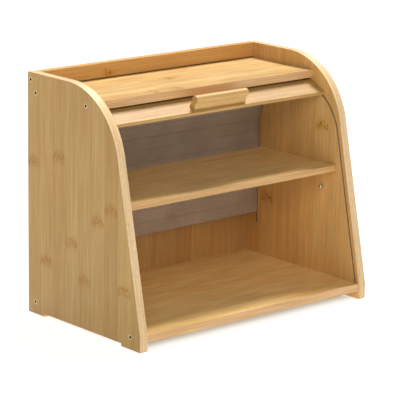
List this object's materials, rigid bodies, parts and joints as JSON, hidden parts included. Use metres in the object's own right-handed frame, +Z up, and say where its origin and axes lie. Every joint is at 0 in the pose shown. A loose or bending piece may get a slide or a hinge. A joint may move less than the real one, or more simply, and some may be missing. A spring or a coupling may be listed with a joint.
{
  "type": "bread box with roll top",
  "caption": "Two-compartment bamboo bread box with a slatted roll top that slides back under its tray top, and a loose middle shelf on pins.",
  "frame": {"origin": "on the ground, in the middle of the footprint", "axes": "+X along the width to the right as seen from the front, -Y towards the open front, +Z up"},
  "size_m": [0.4, 0.2348, 0.3255],
  "materials": {
    "bamboo_side": "satin lacquer",
    "bamboo_board": "satin lacquer",
    "bamboo_door": "satin lacquer",
    "back_sheet": "satin lacquer",
    "canvas": "plain weave",
    "steel_pin": "polished",
    "steel_screw": "zinc plated"
  },
  "bodies": {
    "case": {"left_side_panel": "bamboo_side", "right_side_panel": "bamboo_side", "top_board": "bamboo_board", "bottom_board": "bamboo_board", "back_rail": "bamboo_board", "back_panel": "back_sheet", "shelf_pins_upper": "steel_pin", "shelf_pins_lower": "steel_pin", "top_board_screws": "steel_screw", "bottom_board_screws": "steel_screw", "back_rail_screws": "steel_screw"},
    "shelf": {"middle_shelf": "bamboo_board"},
    "roll_top": {"lead_rail": "bamboo_door", "handle": "bamboo_door", "handle_screws": "steel_screw", "curtain_backing": "canvas"},
    "slat_01_body": {"slat_01": "bamboo_door"},
    "slat_02_body": {"slat_02": "bamboo_door"},
    "slat_03_body": {"slat_03": "bamboo_door"},
    "slat_04_body": {"slat_04": "bamboo_door"},
    "slat_05_body": {"slat_05": "bamboo_door"},
    "slat_06_body": {"slat_06": "bamboo_door"},
    "slat_07_body": {"slat_07": "bamboo_door"},
    "slat_08_body": {"slat_08": "bamboo_door"},
    "slat_09_body": {"slat_09": "bamboo_door"},
    "slat_10_body": {"slat_10": "bamboo_door"},
    "slat_11_body": {"slat_11": "bamboo_door"},
    "slat_12_body": {"slat_12": "bamboo_door"},
    "slat_13_body": {"slat_13": "bamboo_door"},
    "slat_14_body": {"slat_14": "bamboo_door"},
    "slat_15_body": {"slat_15": "bamboo_door"},
    "slat_16_body": {"slat_16": "bamboo_door"}
  },
  "joints": [
    {"name": "roll_top_close", "type": "hinge", "parent": "case", "child": "roll_top", "pos_m": [0, 0.1836, 0.07365], "axis": [1, 0, 0], "range_deg": [0, 51.9], "deforming": ["curtain_backing"]},
    {"name": "slat_01_turn", "type": "hinge", "parent": "case", "child": "slat_01_body", "pos_m": [0, 0.11029, 0.10222], "axis": [1, 0, 0], "range_deg": [0, 70]},
    {"name": "slat_02_turn", "type": "hinge", "parent": "case", "child": "slat_02_body", "pos_m": [0, 0.07996, 0.11735], "axis": [1, 0, 0], "range_deg": [0, 82.1]},
    {"name": "slat_03_turn", "type": "hinge", "parent": "case", "child": "slat_03_body", "pos_m": [0, 0.05817, 0.13067], "axis": [1, 0, 0], "range_deg": [0, 94.2]},
    {"name": "slat_04_turn", "type": "hinge", "parent": "case", "child": "slat_04_body", "pos_m": [0, 0.04222, 0.14275], "axis": [1, 0, 0], "range_deg": [0, 106.3]},
    {"name": "slat_05_turn", "type": "hinge", "parent": "case", "child": "slat_05_body", "pos_m": [0, 0.0305, 0.15394], "axis": [1, 0, 0], "range_deg": [0, 118.4]},
    {"name": "slat_06_turn", "type": "hinge", "parent": "case", "child": "slat_06_body", "pos_m": [0, 0.02204, 0.16442], "axis": [1, 0, 0], "range_deg": [0, 130.5]},
    {"name": "slat_07_turn", "type": "hinge", "parent": "case", "child": "slat_07_body", "pos_m": [0, 0.01622, 0.17435], "axis": [1, 0, 0], "range_deg": [0, 142.6]},
    {"name": "slat_08_turn", "type": "hinge", "parent": "case", "child": "slat_08_body", "pos_m": [0, 0.01262, 0.1838], "axis": [1, 0, 0], "range_deg": [0, 154.7]},
    {"name": "slat_09_turn", "type": "hinge", "parent": "case", "child": "slat_09_body", "pos_m": [0, 0.011, 0.19284], "axis": [1, 0, 0], "range_deg": [0, 166.8]},
    {"name": "slat_10_turn", "type": "hinge", "parent": "case", "child": "slat_10_body", "pos_m": [0, 0.01094, 0.19373], "axis": [1, 0, 0], "range_deg": [0, 168.02]},
    {"name": "slat_11_turn", "type": "hinge", "parent": "case", "child": "slat_11_body", "pos_m": [0, 0.01011, 0.19106], "axis": [1, 0, 0], "range_deg": [0, 164.22]},
    {"name": "slat_12_turn", "type": "hinge", "parent": "case", "child": "slat_12_body", "pos_m": [0, 0.00623, 0.18256], "axis": [1, 0, 0], "range_deg": [0, 152.12]},
    {"name": "slat_13_turn", "type": "hinge", "parent": "case", "child": "slat_13_body", "pos_m": [0, 0.00029, 0.17406], "axis": [1, 0, 0], "range_deg": [0, 140.02]},
    {"name": "slat_14_turn", "type": "hinge", "parent": "case", "child": "slat_14_body", "pos_m": [0, -0.008, 0.16556], "axis": [1, 0, 0], "range_deg": [0, 127.92]},
    {"name": "slat_15_turn", "type": "hinge", "parent": "case", "child": "slat_15_body", "pos_m": [0, -0.0191, 0.15706], "axis": [1, 0, 0], "range_deg": [0, 115.82]},
    {"name": "slat_16_turn", "type": "hinge", "parent": "case", "child": "slat_16_body", "pos_m": [0, -0.03371, 0.14856], "axis": [1, 0, 0], "range_deg": [0, 103.72]},
    {"name": "shelf_lift", "type": "slide", "parent": "case", "child": "shelf", "axis": [0, 0, 1], "range_m": [0, 0.01]}
  ],
  "couplings": [
    {"joint": "slat_01_turn", "follows": "roll_top_close", "ratio": 1.3483},
    {"joint": "slat_02_turn", "follows": "roll_top_close", "ratio": 1.5815},
    {"joint": "slat_03_turn", "follows": "roll_top_close", "ratio": 1.8146},
    {"joint": "slat_04_turn", "follows": "roll_top_close", "ratio": 2.0477},
    {"joint": "slat_05_turn", "follows": "roll_top_close", "ratio": 2.2809},
    {"joint": "slat_06_turn", "follows": "roll_top_close", "ratio": 2.514},
    {"joint": "slat_07_turn", "follows": "roll_top_close", "ratio": 2.7471},
    {"joint": "slat_08_turn", "follows": "roll_top_close", "ratio": 2.9803},
    {"joint": "slat_09_turn", "follows": "roll_top_close", "ratio": 3.2134},
    {"joint": "slat_10_turn", "follows": "roll_top_close", "ratio": 3.237},
    {"joint": "slat_11_turn", "follows": "roll_top_close", "ratio": 3.1637},
    {"joint": "slat_12_turn", "follows": "roll_top_close", "ratio": 2.9306},
    {"joint": "slat_13_turn", "follows": "roll_top_close", "ratio": 2.6974},
    {"joint": "slat_14_turn", "follows": "roll_top_close", "ratio": 2.4643},
    {"joint": "slat_15_turn", "follows": "roll_top_close", "ratio": 2.2312},
    {"joint": "slat_16_turn", "follows": "roll_top_close", "ratio": 1.998}
  ]
}
